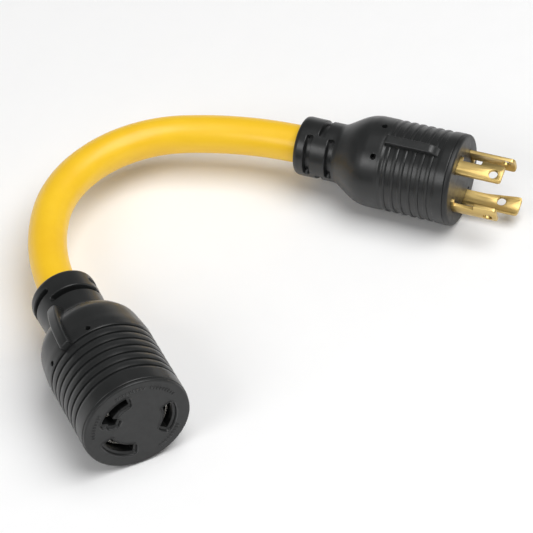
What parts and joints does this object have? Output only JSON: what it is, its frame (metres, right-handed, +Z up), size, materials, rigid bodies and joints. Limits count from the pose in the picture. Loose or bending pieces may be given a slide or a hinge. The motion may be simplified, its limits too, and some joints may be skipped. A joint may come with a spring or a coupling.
{
  "type": "power adapter dogbone",
  "caption": "Short adapter lead that joins a four-blade locking plug to a three-slot locking connector through a thick flexible cord.",
  "frame": {"origin": "on the surface that the lead lies on, under the middle of the box round its two heads", "axes": "+X is the way the plug's blades point, +Z is up from the surface, +Y completes the frame and points from the connector's side towards the plug's side"},
  "size_m": [0.2102, 0.229, 0.0508],
  "materials": {
    "black_vinyl": "satin moulded vinyl",
    "black_face": "matt moulded insulating face",
    "inner_fill": "plain inner moulding",
    "brass": "stamped, slightly worn",
    "copper": "bright stranded copper",
    "yellow_vinyl": "smooth satin vinyl jacket",
    "paper_filler": "twisted paper filler",
    "black_insulation": "plain vinyl insulation",
    "white_insulation": "plain vinyl insulation",
    "green_insulation": "plain vinyl insulation"
  },
  "bodies": {
    "root": {"plug_body": "black_vinyl", "plug_face": "black_face", "plug_inner_mould": "inner_fill", "plug_blade_neutral": "brass", "plug_blade_hot_x": "brass", "plug_blade_ground": "brass", "plug_blade_hot_y": "brass", "connector_body": "black_vinyl", "connector_face": "black_face", "connector_contact_retainer": "black_face", "connector_inner_mould": "inner_fill", "connector_contact_ground": "brass", "connector_contact_hot": "brass", "connector_contact_neutral": "brass", "cord_jacket": "yellow_vinyl", "cord_insulation_hot": "black_insulation", "cord_insulation_ground": "green_insulation", "cord_insulation_neutral": "white_insulation", "cord_core_hot": "copper", "cord_core_ground": "copper", "cord_core_neutral": "copper", "cord_filler_hot_side": "paper_filler", "cord_filler_ground_side": "paper_filler", "cord_filler_neutral_side": "paper_filler"}
  },
  "joints": []
}
